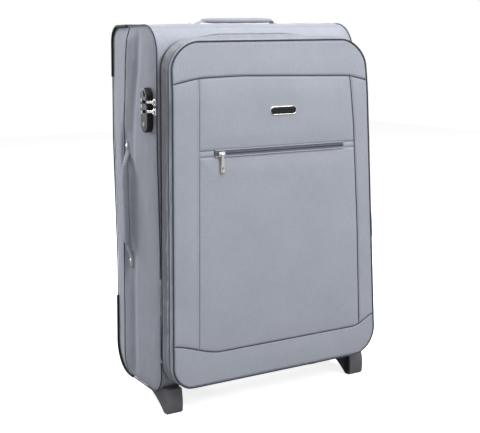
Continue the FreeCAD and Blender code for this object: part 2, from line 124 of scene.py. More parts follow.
# ---------------- outlines
def outline(corners):
    """Closed outline through (u, v, radius) corners: points, outward normals, distance along,
    and where each corner starts and ends."""
    points, normals, spans = [], [], []
    at = 0.0
    for i, (u, v, r) in enumerate(corners):
        here = np.array((u, v), float)
        back = np.array(corners[i - 1][:2]) - here
        ahead = np.array(corners[(i + 1) % len(corners)][:2]) - here
        back, ahead = back / np.linalg.norm(back), ahead / np.linalg.norm(ahead)
        half = math.acos(np.dot(back, ahead)) / 2
        centre = here + (back + ahead) / np.linalg.norm(back + ahead) * r / math.sin(half)
        a0 = math.atan2(*(here + back * r / math.tan(half) - centre)[::-1])
        a1 = math.atan2(*(here + ahead * r / math.tan(half) - centre)[::-1])
        a1 = a0 + (a1 - a0 + math.pi) % (2 * math.pi) - math.pi
        turn = np.linspace(a0, a1, 40)
        arc = np.c_[np.cos(turn), np.sin(turn)]
        if points:
            at += np.linalg.norm(centre + arc[0] * r - points[-1][-1])
        spans.append((at, at + abs(a1 - a0) * r))
        normals.append(arc)
        points.append(centre + arc * r)
        at = spans[-1][1]
    points, normals = np.vstack(points), np.vstack(normals)
    points, normals = np.vstack([points, points[:1]]), np.vstack([normals, normals[:1]])
    along = np.r_[0, np.cumsum(np.linalg.norm(np.diff(points, axis=0), axis=1))]
    return {"points": points, "normals": normals, "along": along, "spans": spans,
            "total": along[-1]}


def walk(line, s):
    """Points and normals at distances s along a closed outline."""
    s = np.mod(s, line["total"])
    pick = [np.interp(s, line["along"], line[key][:, k])
            for key in ("points", "normals") for k in (0, 1)]
    return np.stack(pick[:2], -1), np.stack(pick[2:], -1)


def even_walk(line, count):
    return walk(line, steps(0, line["total"], count))


CORNER_STEPS, UP_STEPS, ACROSS_STEPS = 34, 110, 64


def matched(line):
    """The same number of steps on each side and corner of any outline, so that two outlines
    can be joined."""
    s = []
    for i, (a, b) in enumerate(line["spans"]):
        following = line["spans"][i + 1][0] if i < 3 else line["total"]
        s += list(steps(a, b, CORNER_STEPS))
        s += list(steps(b, following, ACROSS_STEPS if i % 2 == 0 else UP_STEPS))
    return walk(line, np.array(s))


def ring_at(p, n, out, y):
    """Points round a front-view outline, so far outside it and at depth y; out and y may be
    columns, one row for each ring."""
    return np.stack(np.broadcast_arrays(p[:, 0] + n[:, 0] * out, y, p[:, 1] + n[:, 1] * out), -1)


def across_at(p, n, x, out):
    """Grid along a side-view outline and across it, so far outside it."""
    p, n = p[:, None], n[:, None]
    y, z = (p[..., k] + n[..., k] * out for k in (0, 1))
    return np.stack(np.broadcast_arrays(x, y, z), -1)


def corner_cut(depth, r):
    """How far a rounded corner of radius r takes the side in, at this depth from the end."""
    depth = np.clip(depth, 0, r)
    return r - np.sqrt(np.maximum(0, r * r - (r - depth) ** 2))


def lean(z):
    """How far the top of the lid's front leans back."""
    return 7.0 * ease(z, 610, 740)


def settle(p):
    """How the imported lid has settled. Its top edge sags at the front, leans back, and rises to
    the case in the middle. Its walls sag at the bottom and fill out on the right, except where
    the let-out zip's slider stands. On the left they are drawn in beside the case."""
    x, y, z = p[..., 0], p[..., 1], p[..., 2]
    ahead = ease(-y, 88, 127)
    middle = ease(x, -165, -95) * (1 - ease(x, 45, 125))
    out = np.array(p, float)
    out[..., 2] += ease(z, 650, 722) * (8.5 * middle * (1 - ease(-y, 80, 104)) - 6.0 * ahead)
    out[..., 2] -= 5.0 * (1 - ease(z, 52, 74)) * ease(-y, 88, 104) * (1 - ease(-y, 116, 127))
    out[..., 1] += lean(z) * ease(-y, 113, 128)
    swell = np.exp(-((z - 300) / 110) ** 2) + 0.5 * np.exp(-((z - 500) / 90) ** 2)
    swell = swell * (1 - 0.78 * np.exp(-((z - SLIDER_Z) / 30) ** 6))
    out[..., 0] += 10.0 * swell * ease(-y, 84, 104) * (1 - ease(-y, 118, 127)) * ease(x, 195, 225)
    out[..., 0] -= 3.5 * (1 - ease(-y, 84, 124)) * ease(-x, 150, 215)
    return out


def slim(p):
    """How the case narrows: its left side leans in towards the top, and its right side is drawn
    in at the top front."""
    out = np.array(p, float)
    x, y, z = out[..., 0], out[..., 1], out[..., 2]
    share = x / CASE_HALF
    away = z - 400
    tilt = np.sign(away) * np.clip((np.abs(away) - 130) / 230, 0, 1)
    left = 6.0 * tilt * np.clip(-share, 0, 1.1)
    right = 17.0 * ease(z, 470, 750) * (1 - ease(y, -35, 52)) * np.clip(share, 0, 1.1) ** 2
    out[..., 0] += left - right
    return out


# ---------------- finishes
def linear(hexcode):
    """Screen colour to the linear colour that shaders take."""
    out = []
    for i in (0, 2, 4):
        c = int(hexcode[i:i + 2], 16) / 255.0
        out.append(c / 12.92 if c <= 0.04045 else ((c + 0.055) / 1.055) ** 2.4)
    return (*out, 1.0)


def add(tree, kind, inputs=None, out=None, **settings):
    """Add a node; an input is either a value or the socket that feeds it. Returns the node, or
    the output named by out."""
    node = tree.nodes.new(kind)
    for key, value in settings.items():
        setattr(node, key, value)
    for key, value in (inputs or {}).items():
        if isinstance(value, bpy.types.NodeSocket):
            tree.links.new(value, node.inputs[key])
        else:
            node.inputs[key].default_value = value
    return node if out is None else node.outputs[out]


def noise(tree, place, scale, detail=2.0):
    inputs = {"Vector": place, "Scale": scale, "Detail": detail}
    return add(tree, "ShaderNodeTexNoise", inputs, "Fac")


def combine(tree, a, b, operation="ADD"):
    return add(tree, "ShaderNodeMath", {0: a, 1: b}, 0, operation=operation)


def mix(tree, share, first, second):
    inputs = {"Fac": share, "Color1": first, "Color2": second}
    return add(tree, "ShaderNodeMixRGB", inputs, "Color")


def dress(tree, skin, colour, height, strength, distance):
    """Give a surface its colour, and bumps from a height."""
    tree.links.new(colour, skin.inputs["Base Color"])
    bump = {"Height": height, "Strength": strength, "Distance": distance}
    tree.links.new(add(tree, "ShaderNodeBump", bump, "Normal"), skin.inputs["Normal"])


def new_finish(name, **constants):
    material = bpy.data.materials.new(name)
    material.use_nodes = True
    tree = material.node_tree
    skin = tree.nodes["Principled BSDF"]
    for key, value in constants.items():
        skin.inputs[key.replace("_", " ")].default_value = value
    return material, tree, skin


def woven(name, light, dark, pitch=1.1, relief=0.35, roughness=0.85):
    """Plain-woven cloth: crossed threads with slubs. The thread is drawn about twice its real
    width, so that it shows."""
    material, tree, skin = new_finish(name, Roughness=roughness, Sheen_Weight=0.2,
                                      Sheen_Roughness=0.5, Specular_IOR_Level=0.3)
    place = add(tree, "ShaderNodeUVMap", None, "UV", uv_map="Cloth")
    threads = []
    for scale in ((45, 700, 1), (700, 45, 1)):
        drawn = add(tree, "ShaderNodeMapping", {"Vector": place, "Scale": scale}, "Vector")
        threads.append(noise(tree, drawn, 1.0))
    slub = combine(tree, *threads)
    tone = combine(tree, slub, noise(tree, place, 9.0, 3.0))
    tone = {"Value": tone, "From Min": 1.15, "From Max": 1.85}
    tone = add(tree, "ShaderNodeMapRange", tone, "Result")
    wave = {"Vector": place, "Scale": 2 * math.pi / (20 * pitch / 1000)}
    waves = [add(tree, "ShaderNodeTexWave", wave, "Fac", bands_direction=way) for way in "XY"]
    height = combine(tree, combine(tree, *waves, "MULTIPLY"), slub)
    dress(tree, skin, mix(tree, tone, linear(dark), linear(light)), height, relief, 0.0003)
    return material


def moulded(name, light, dark, roughness=0.5, grain=900.0, relief=0.25, **more):
    """Moulded or cast surface: a fine grain breaks the highlight up, and the colour wanders a
    little."""
    material, tree, skin = new_finish(name, Roughness=roughness, **more)
    place = add(tree, "ShaderNodeTexCoord", None, "Object")
    colour = mix(tree, noise(tree, place, 40.0, 4.0), linear(dark), linear(light))
    dress(tree, skin, colour, noise(tree, place, grain), relief, 0.0002)
    return material


FINISH = {
    # hard-wearing grey polyester: matt, with a thread pattern that only shows close up
    "front_cloth": woven("polyester_cloth_front", "ACB0BB", "A0A4AF"),
    # the same cloth on the case
    "side_cloth": woven("polyester_cloth_case", "AAADB9", "9DA0AC"),
    # dark slate tape wrapped round a cord: the thin dark lines along every edge
    "piping_cloth": woven("piping_tape", "454A58", "343845", pitch=0.9),
    # thin nylon lining: smoother and a little shiny, dark inside
    "lining_cloth": woven("nylon_lining", "4A4C55", "3A3C44", pitch=0.8, relief=0.2,
                          roughness=0.6),
    # dark slate tape of the zips
    "zip_tape": woven("zip_tape", "383B45", "292C34", pitch=0.8),
    # grained black polypropylene of the guards, housings and bezel
    "moulded_black": moulded("grained_polypropylene", "2A2A2D", "202023", 0.7,
                             Specular_IOR_Level=0.2),
    # charcoal polypropylene of the feet, worn smoother
    "foot_plastic": moulded("foot_polypropylene", "74747A", "5E5E64", 0.34, grain=600),
    # satin black housing of the lock
    "lock_black": moulded("satin_lock_plastic", "202023", "161618", 0.45, relief=0.1,
                          Specular_IOR_Level=0.35),
    # stiff black plastic board behind the lining
    "back_plastic": moulded("back_board_plastic", "2A2A2C", "202022", 0.6),
    # soft grey-black rubber of the wheels: quite matt
    "tread_rubber": moulded("wheel_rubber", "3A3A3C", "2C2C2E", 0.75, grain=1500),
    # bright nickel plating on pulls, rivets and the badge's rim
    "plated_metal": moulded("nickel_plating", "F2EFEA", "DCD8D2", 0.16, 300, 0.05, Metallic=1.0),
    # satin anodised tube: long soft highlights
    "tube_metal": moulded("anodised_aluminium", "C2C4C8", "A9ABB0", 0.3, relief=0.05,
                          Metallic=1.0),
    # plain bright steel of screws, axles and hoops
    "steel": moulded("bright_steel", "B4B4B6", "98989A", 0.28, relief=0.05, Metallic=1.0),
}
SEWING = moulded("grey_sewing_thread", "A4A8B3", "8B8F9A", 0.7)
# the gusset's cloth, drawn a little darker: painted shade standing in for the shade that its small
# creases hold
GUSSET_CLOTH_PAINTED_SHADE = woven("polyester_cloth_gusset_painted_shade", "9C9FA9", "8F929C")
# dark coils of the two long zips, a little shinier than their tape
COIL = moulded("nylon_zip_coil", "2C2F38", "1E2027", 0.45)
# the pocket's zip is mid grey, close to the cloth
POCKET_TAPE = woven("pocket_zip_tape_cloth", "7C808A", "6E727D", pitch=0.8)
POCKET_COIL = moulded("pocket_zip_coil_nylon", "6A6E79", "565A65", 0.4)
GLOSS_BLACK = moulded("gloss_black_enamel", "17171A", "101012", 0.38, relief=0.05,
                      Specular_IOR_Level=0.3)

slots = {row["node"]: row["material_slot"] for row in frame["record"]["subparts"]}
for name, obj in nodes.items():
    obj.data.materials.clear()
    obj.data.materials.append(FINISH[slots[name]])


# ---------------- building pieces
def linked(name, mesh):
    obj = bpy.data.objects.new(name, mesh)
    bpy.context.scene.collection.objects.link(obj)
    return obj


def new_piece(name, points, faces, corner_uv, finish, body=None, stands_for=(), slot=None):
    """A mesh piece from points in millimetres; corner_uv holds one (u, v) in metres for each face
    corner. finish is a material, or the name of the slot that gives the material."""
    if isinstance(finish, str):
        finish, slot = FINISH[finish], finish
    mesh = bpy.data.meshes.new(name)
    mesh.from_pydata(metres(points).tolist(), [], faces)
    layer = mesh.uv_layers.new(name="Cloth")
    layer.data.foreach_set("uv", np.asarray(corner_uv, np.float32).ravel())
    mesh.polygons.foreach_set("use_smooth", [True] * len(mesh.polygons))
    mesh.materials.append(finish)
    mesh.update()
    return settle_in(linked(name, mesh), body, stands_for)


def settle_in(obj, body, stands_for=()):
    """Fix a piece to its body and hide the CAD nodes that it stands for."""
    if body:
        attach(obj, body)
    if stands_for:
        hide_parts(*stands_for)
    return obj


def grid_normals(grid, wraps=False):
    if wraps:
        du = np.roll(grid, -1, 1) - np.roll(grid, 1, 1)
    else:
        du = np.gradient(grid, axis=1)
    normal = np.cross(du, np.gradient(grid, axis=0))
    return normal / np.maximum(np.linalg.norm(normal, axis=-1, keepdims=True), 1e-9)


def cloth_uv(grid, wraps=False):
    """Distances along the grid's columns and rows, in metres."""
    closed = np.concatenate([grid, grid[:, :1]], 1) if wraps else grid
    u = np.r_[0, np.cumsum(np.linalg.norm(np.diff(closed, axis=1), axis=-1).mean(0))]
    v = np.r_[0, np.cumsum(np.linalg.norm(np.diff(grid, axis=0), axis=-1).mean(1))]
    return np.stack(np.broadcast_arrays(u[None, :], v[:, None]), -1) / 1000.0


def shell(name, grid, thick, outward, finish, wraps=False, keep=None, uv=None, **more):
    """Closed piece of cloth: a grid of points on its outer face, and the same grid thick further
    in. outward is roughly the way the outer face looks; keep says which squares of the grid are
    there."""
    rows, cols = grid.shape[:2]
    normal = grid_normals(grid, wraps)
    flip = np.sum(normal * outward) < 0
    if flip:
        normal = -normal
    inner = grid - normal * thick
    uv = cloth_uv(grid, wraps) if uv is None else uv
    wide = cols if wraps else cols - 1
    keep = np.ones((rows - 1, wide), bool) if keep is None else keep
    points = np.concatenate([grid.reshape(-1, 3), inner.reshape(-1, 3)])
    count = rows * cols
    faces, corner_uv = [], []

    def index(r, c):
        return r * cols + c % cols

    for r in range(rows - 1):
        for c in range(wide):
            if not keep[r, c]:
                continue
            ring = [(r, c), (r, c + 1), (r + 1, c + 1), (r + 1, c)]
            if flip:
                ring.reverse()
            ids = [index(*p) for p in ring]
            spots = [uv[p] for p in ring]
            faces.append(ids)
            faces.append([i + count for i in reversed(ids)])
            corner_uv += spots + spots[::-1]
            for k in range(4):
                a, b = ring[k], ring[(k + 1) % 4]
                beside_r = r + (a[0] + b[0] - 2 * r - 1)
                beside_c = c + (a[1] + b[1] - 2 * c - 1)
                if wraps:
                    beside_c %= cols
                inside = 0 <= beside_r < rows - 1 and 0 <= beside_c < wide
                if inside and keep[beside_r, beside_c]:
                    continue
                ia, ib = index(*a), index(*b)
                faces.append([ib, ia, ia + count, ib + count])
                corner_uv += [uv[b], uv[a], uv[a], uv[b]]
    return new_piece(name, points, faces, corner_uv, finish, **more)


def loft(name, rings, finish, closes=False, **more):
    """Solid through rings of points, (stations, points round, 3); it closes on itself or has
    flat ends."""
    stations, around = rings.shape[:2]
    normal = grid_normals(rings, True)
    flip = np.sum(normal * (rings - rings.mean(1, keepdims=True))) < 0
    total = stations if closes else stations - 1
    centres = rings.mean(1)
    along = np.r_[0, np.cumsum(np.linalg.norm(np.roll(centres, -1, 0) - centres, axis=1))] / 1000
    girth = np.linalg.norm(rings[0, 0] - rings[0, 1]) / 1000
    faces, corner_uv = [], []
    for i in range(total):
        for j in range(around):
            ring = [(i, j), (i, j + 1), (i + 1, j + 1), (i + 1, j)]
            if flip:
                ring.reverse()
            faces.append([(a % stations) * around + b % around for a, b in ring])
            corner_uv += [(along[a], b * girth) for a, b in ring]
    if not closes:
        for i, turned in ((0, not flip), (stations - 1, flip)):
            ids = [i * around + j for j in range(around)]
            faces.append(ids[::-1] if turned else ids)
            corner_uv += [(0.0, 0.0)] * around
    return new_piece(name, rings.reshape(-1, 3), faces, corner_uv, finish, **more)


def along_path(path, out, closes):
    """Unit tangents, outward directions made square to them, and sideways directions."""
    if closes:
        tangent = np.roll(path, -1, 0) - np.roll(path, 1, 0)
    else:
        tangent = np.gradient(path, axis=0)
    tangent /= np.linalg.norm(tangent, axis=1, keepdims=True)
    out = np.broadcast_to(np.asarray(out, float), path.shape)
    out = out - tangent * np.sum(out * tangent, 1, keepdims=True)
    out = out / np.linalg.norm(out, axis=1, keepdims=True)
    return tangent, out, np.cross(tangent, out)


def cord(name, path, out, radius, finish, closes=False, flat=1.0, **more):
    """Round cord along a path; flat is its height over its width."""
    _, out, side = along_path(path, out, closes)
    turn = steps(0, 2 * math.pi, 10)[None, :, None]
    sweep = flat * np.sin(turn) * out[:, None] + np.cos(turn) * side[:, None]
    loft(name, path[:, None] + radius * sweep, finish, closes, **more)


BAR_SIZES = ("Pitch", "Along", "Across", "Height")


def bar_run():
    """Small bars set out along a line: stitches, or the coils of a zip."""
    tree = bpy.data.node_groups.new("bar_run", "GeometryNodeTree")
    sockets = [("Geometry", "INPUT", "Geometry"),
               *((size, "INPUT", "Float") for size in BAR_SIZES),
               ("Finish", "INPUT", "Material"), ("Geometry", "OUTPUT", "Geometry")]
    for name, way, kind in sockets:
        tree.interface.new_socket(name, in_out=way, socket_type="NodeSocket" + kind)

    def step(kind, inputs, out, **settings):
        return add(tree, kind, inputs, out, **settings)

    given = add(tree, "NodeGroupInput").outputs
    line = step("GeometryNodeMeshToCurve", {"Mesh": given["Geometry"]}, "Curve")
    spots = step("GeometryNodeResampleCurve", {"Curve": line, "Length": given["Pitch"]}, "Curve",
                 mode="LENGTH")
    size = {"X": given["Along"], "Y": given["Across"], "Z": given["Height"]}
    size = step("ShaderNodeCombineXYZ", size, "Vector")
    bead = step("GeometryNodeMeshUVSphere", {"Segments": 8, "Rings": 4, "Radius": 0.5}, "Mesh")
    bead = step("GeometryNodeTransform", {"Geometry": bead, "Scale": size}, "Geometry")
    out = step("GeometryNodeInputNamedAttribute", {"Name": "out"}, "Attribute",
               data_type="FLOAT_VECTOR")
    heading = step("GeometryNodeInputTangent", None, "Tangent")
    align = "FunctionNodeAlignRotationToVector"
    stand = step(align, {"Vector": out}, "Rotation", axis="Z")
    stand = step(align, {"Rotation": stand, "Vector": heading}, "Rotation", axis="X",
                 pivot_axis="Z")
    copies = step("GeometryNodeInstanceOnPoints",
                  {"Points": spots, "Instance": bead, "Rotation": stand}, "Instances")
    solid = step("GeometryNodeRealizeInstances", {"Geometry": copies}, "Geometry")
    soft = step("GeometryNodeSetShadeSmooth", {"Geometry": solid}, "Geometry")
    done = {"Geometry": soft, "Material": given["Finish"]}
    done = step("GeometryNodeSetMaterial", done, "Geometry")
    add(tree, "NodeGroupOutput", {"Geometry": done})
    return tree


BAR_RUN = bar_run()


def bars(name, path, out, sizes, finish, body, closes=False, slot=None):
    """Stitches or coils along a path, as one plain mesh piece; sizes are the bars' pitch, and
    how long, wide and high they are, in millimetres."""
    count = len(path)
    mesh = bpy.data.meshes.new(name + "_line")
    links = [(i, (i + 1) % count) for i in range(count if closes else count - 1)]
    mesh.from_pydata(metres(path).tolist(), links, [])
    layer = mesh.attributes.new("out", "FLOAT_VECTOR", "POINT")
    layer.data.foreach_set("vector", np.broadcast_to(out, path.shape).astype(np.float32).ravel())
    line = linked(name + "_line", mesh)
    modifier = line.modifiers.new("bars", "NODES")
    modifier.node_group = BAR_RUN
    given = {"Finish": finish, **{key: size / 1000 for key, size in zip(BAR_SIZES, sizes)}}
    for item in BAR_RUN.interface.items_tree:
        if item.in_out == "INPUT" and item.name in given:
            modifier[item.identifier] = given[item.name]
    plain = plain_mesh(name, line)
    bpy.data.objects.remove(line)
    settle_in(linked(name, plain), body, ())


def plain_mesh(name, obj):
    """The mesh that an object's modifiers make."""
    seen = obj.evaluated_get(bpy.context.evaluated_depsgraph_get())
    mesh = bpy.data.meshes.new_from_object(seen)
    mesh.name = name
    return mesh


def stitches(name, path, out=FRONT, body="lid"):
    """A line of stitches, a little thicker than real thread so that it shows."""
    bars(name, path, out, (4.6, 3.3, 0.8, 0.5), SEWING, body)
# ---------------- the case's cloth
CASE_LINE = outline(CASE)
LID_LINE = outline(LID)


def inside_case(y, z):
    """Distance from a point of the side view to the case's outline, positive inside."""
    mid_y, half_y = (CASE_FRONT + CASE_BACK) / 2, (CASE_BACK - CASE_FRONT) / 2
    mid_z, half_z = (CASE_LOW + CASE_TOP) / 2, (CASE_TOP - CASE_LOW) / 2
    ahead = y < mid_y
    radius = np.where(z < mid_z, np.where(ahead, *RADII[:2]), np.where(ahead, *RADII[:1:-1]))
    a = np.abs(y - mid_y) - half_y + radius
    b = np.abs(z - mid_z) - half_z + radius
    return radius - np.minimum(np.maximum(a, b), 0) - np.hypot(np.maximum(a, 0), np.maximum(b, 0))


# (z), (y) of the side's rear seam, and of the soft crease ahead of it
SEAM = ([38, 60, 150, 267, 400, 540, 583, 691, 757], [84, 86, 88, 86, 80, 72, 65, 53, 48])
CREASE = ([38, 180, 305, 410, 543, 613, 691, 757], [44, 46, 46, 40, 35, 22, 8, 0])


def side_height(y, z):
    """How far the side cloth stands out from the case's flat side."""
    inside = inside_case(y, z)
    height = -0.6 + 3.0 * (1 - np.exp(-np.maximum(inside, 0) / 14))
    seam, crease = np.interp(z, *SEAM), np.interp(z, *CREASE)
    ahead = np.clip((y - crease) / (seam - crease), 0, 1)
    behind = np.clip(1 - (y - seam) / (136 - seam), 0, 1)
    ridge = np.where(y < seam, ahead, behind)
    valley = np.exp(-((y - crease) / 11) ** 2)
    height = height + (5.0 * ridge ** 1.15 - 1.8 * valley) * ease(inside, 0, 30)
    height = height - 1.2 * np.exp(-((y - seam) / 2.2) ** 2)
    handle = np.exp(-((y - SIDE_HANDLE_Y) / 19) ** 4) * np.exp(-((z - HANDLE_Z) / 150) ** 8)
    height = height * (1 - 0.85 * handle)
    return height + 0.45 * ripple(y * 1.6, z, 150, 5) + 0.16 * ripple(y, z, 46, 6)


def side_grid(z0, z1, ends, corners, rows=120, cols=64):
    """Grid over a rounded side, (y, z), gathered towards its edges."""
    z = z0 + (z1 - z0) * gathered(rows, 0.55)
    z[0], z[-1] = z0, z1
    lo = ends[0] + np.maximum(corner_cut(z - z0, corners[0]), corner_cut(z1 - z, corners[3]))
    hi = ends[1] - np.maximum(corner_cut(z - z0, corners[1]), corner_cut(z1 - z, corners[2]))
    y = lo[:, None] + (hi - lo)[:, None] * gathered(cols, 0.5)[None, :]
    return y, np.broadcast_to(z[:, None], y.shape)


def grown_case(by):
    """The case's side-view outline, larger all round."""
    return outline([(y + math.copysign(by, y), z + (by if z > HANDLE_Z else -by), r + by)
                    for y, z, r in CASE])


def make_sides():
    for side, word in ((-1, "left"), (1, "right")):
        y, z = side_grid(CASE_LOW, CASE_TOP, (CASE_FRONT, CASE_BACK), RADII)
        grid = np.stack([side * (CASE_HALF + side_height(y, z)), y, z], -1)
        shell(word + "_side_cloth", slim(grid), 3.0, (side, 0, 0), "side_cloth",
              uv=np.stack([y, z], -1) / 1000, body="case", stands_for=(word + "_side_panel",))
        p, _ = even_walk(grown_case(1.3), 420)
        path = np.c_[np.full(len(p), side * (CASE_HALF + 1.0)), p]
        cord(word + "_edge_cord", slim(path), (side, 0, 0), 1.3, "piping_cloth", closes=True,
             body="case", stands_for=("edge_piping",))
        z = np.linspace(CASE_LOW + 5, CASE_TOP - 4, 160)
        y = np.convolve(np.pad(np.interp(z, *SEAM), 12, mode="edge"), np.ones(25) / 25, "valid")
        path = np.c_[side * (CASE_HALF + side_height(y, z) + 0.3), y, z]
        cord(word + "_seam_cord", slim(path), (side, 0, 0), 1.1, "piping_cloth", body="case")


def make_corner_trims():
    """Black plastic lips where the corner guards wrap over the sides."""
    for low, high, word in ((38, 189, "low"), (661, 757, "top")):
        for side, hand in ((-1, "left"), (1, "right")):
            p, _ = even_walk(grown_case(1.0), 1600)
            p = p[(p[:, 0] > 57) & (p[:, 1] > low - 5) & (p[:, 1] < high + 5)]
            path = slim(np.c_[np.full(len(p), side * (CASE_HALF + 1.5)), p])
            cord("corner_trim_%s_%s" % (hand, word), path, (side, 0, 0), 2.8, "moulded_black",
                 body="case")


# where, on the rounded front edges, the case's band meets the border
FRONT_TURN = math.radians(66)


def make_band():
    """Cloth over the top, back and bottom, open for the handle's bezel and the wheel wells."""
    spans = CASE_LINE["spans"]
    wheel_x0, wheel_x1, bezel_x = 146.2, 183.8, 128.3
    # the outline runs bottom, back, top, front; the band goes from the bottom's front edge round
    # to the top's
    start = spans[0][0] + RADII[0] * FRONT_TURN
    end = spans[3][0] + RADII[3] * (math.pi / 2 - FRONT_TURN)
    well_in = spans[0][1] + (67.2 - (-38))
    well_out = spans[1][0] + 60 * (math.pi / 2 - math.asin((98 - 68.8) / 60))
    bezel_in = spans[1][1] + (707.7 - 98)
    bezel_out = spans[2][1] + (104 - 93.7)
    s = marked_steps([start, well_in, well_out, bezel_in, bezel_out, end], [26, 18, 70, 16, 22])
    half = [bezel_x, wheel_x0, wheel_x1, CASE_HALF]
    x = marked_steps([-mark for mark in half[::-1]] + half,
                     [10, 6, 3, 40, 3, 6, 10])
    p, n = walk(CASE_LINE, s)
    edge = np.minimum(CASE_HALF - np.abs(x), 40)[None, :]
    free = 1 - np.exp(-edge / 10)
    top = ease(s, spans[2][1] - 20, spans[2][1] + 60)[:, None]
    plump = (2.6 + 0.5 * ripple(x[None, :], s[:, None], 120, 11)) * free * top
    plump = (plump - 0.8 * np.exp(-edge / 2.5)) * (1 - ease(s, end - 26, end))[:, None]
    at_s, at_x = (s[1:] + s[:-1])[:, None] / 2, np.abs((x[1:] + x[:-1])[None, :] / 2)
    well = (at_s > well_in) & (at_s < well_out) & (at_x > wheel_x0) & (at_x < wheel_x1)
    bezel = (at_s > bezel_in) & (at_s < bezel_out) & (at_x < bezel_x)
    shell("band_cloth", slim(across_at(p, n, x, plump)), 3.0, across_at(0 * n, n, 0 * x, 1),
          "side_cloth", keep=~(well | bezel), body="case",
          stands_for=("top_panel", "back_panel", "bottom_panel"))


def case_rim(lid_points):
    """For each step round the lid's outline, the matching place on the case: down its sides, and
    across its top and bottom."""
    turn = np.linspace(0, FRONT_TURN, 24)
    wall_ends = {True: 670, False: 121}     # where the side walls give way to the corners
    rims = {}                               # (y, z) up a side wall's end and round the front edge
    for up, r, z0, way in ((True, RADII[3], CASE_TOP, 1), (False, RADII[0], CASE_LOW, -1)):
        y = CASE_FRONT + r - r * np.cos(turn)
        z = z0 - way * r + way * r * np.sin(turn)
        rims[up] = np.c_[np.r_[CASE_FRONT, y], np.r_[wall_ends[up], z]]

    def corner(side, up, end_x):
        """Along the side wall, round the front corner, and in along the top or the bottom."""
        path = np.c_[np.full(len(rims[up]), side * CASE_HALF), rims[up]]
        return np.vstack([path, (end_x, *rims[up][-1])])

    def spread(path):
        d = np.r_[0, np.cumsum(np.linalg.norm(np.diff(path, axis=0), axis=1))]
        t = steps(0, d[-1], CORNER_STEPS)
        return np.stack([np.interp(t, d, path[:, k]) for k in range(3)], -1)

    out = []
    at = 0
    for side, up in ((-1, False), (1, False), (1, True), (-1, True)):
        side_first = (side < 0) != up       # these corners are entered along a side wall
        end_x = lid_points[at + (CORNER_STEPS if side_first else 0), 0]
        path = corner(side, up, end_x)
        out.append(spread(path if side_first else path[::-1]))
        at += CORNER_STEPS
        if side_first:                      # then straight across
            out.append([(x, *rims[up][-1]) for x in lid_points[at:at + ACROSS_STEPS, 0]])
            at += ACROSS_STEPS
        else:                               # then along a side wall
            z = steps(wall_ends[up], wall_ends[not up], UP_STEPS)
            out.append([(side * CASE_HALF, CASE_FRONT, height) for height in z])
            at += UP_STEPS
    return np.vstack(out)


def make_border():
    """Cloth from the case's edges to the main zip, and from the zip back to the lining."""
    p, n = matched(LID_LINE)
    rim = slim(case_rim(p))
    zip_edge = settle(ring_at(p, n, -1.0, -79.2))
    reach = np.linalg.norm(zip_edge - rim, axis=1)
    way = ring_at(0 * n, n, 0.75, -0.66)
    bend = (rim + zip_edge) / 2 + way * (0.15 * reach + 1.5)[:, None]
    t = np.linspace(0, 1, 16)[:, None, None]
    grid = (1 - t) ** 2 * rim + 2 * t * (1 - t) * bend + t * t * zip_edge
    lumps = ripple(grid[..., 0] + grid[..., 1], grid[..., 2], 70, 21) * (t * (1 - t))[..., 0]
    grid = grid + way * lumps[..., None]
    grid = np.concatenate([grid, settle(ring_at(p, n, -3.4, -78.6))[None]])
    shell("border_cloth", grid, 2.4, np.broadcast_to(way, grid.shape), "side_cloth", wraps=True,
          body="case", stands_for=("front_border",))
    q, m = matched(outline([(-226, 59.6, 8), (226, 59.6, 8), (226, 725, 8), (-226, 725, 8)]))
    start, end = ring_at(p, n, -9.5, -79.5), ring_at(q, m, 0, -63.5)
    grid = start + (slim(end) - start) * np.linspace(0, 1, 6)[:, None, None]
    shell("mouth_cloth", grid, 1.0, np.broadcast_to(ring_at(0 * n, n, -1, -0.8), grid.shape),
          "lining_cloth", wraps=True, body="case")


def lid_strip(name, section, thick, finish, wrinkle=0.0, seed=0, **more):
    """Strip of cloth round the lid's outline; section lists (distance outside the outline, y)."""
    p, n = matched(LID_LINE)
    out, y = np.array(section, float).T[..., None]
    s = np.r_[0, np.cumsum(np.linalg.norm(np.diff(p, axis=0), axis=1))][None]
    free = np.sin(np.linspace(0, math.pi, len(out)))[:, None] ** 2
    creases = 0.6 * ripple(s, y * 5, 34, seed) + 0.6 * ripple(s, y * 3, 95, seed + 1)
    grid = ring_at(p, n, out + wrinkle * free * creases, y)
    outward = np.broadcast_to(ring_at(0 * n, n, 1, 0), grid.shape)
    shell(name, settle(grid), thick, outward, finish, wraps=True, **more)


def lid_path(out, y):
    p, n = matched(LID_LINE)
    return settle(ring_at(p, n, out, y)), ring_at(0 * n, n, 1, 0)


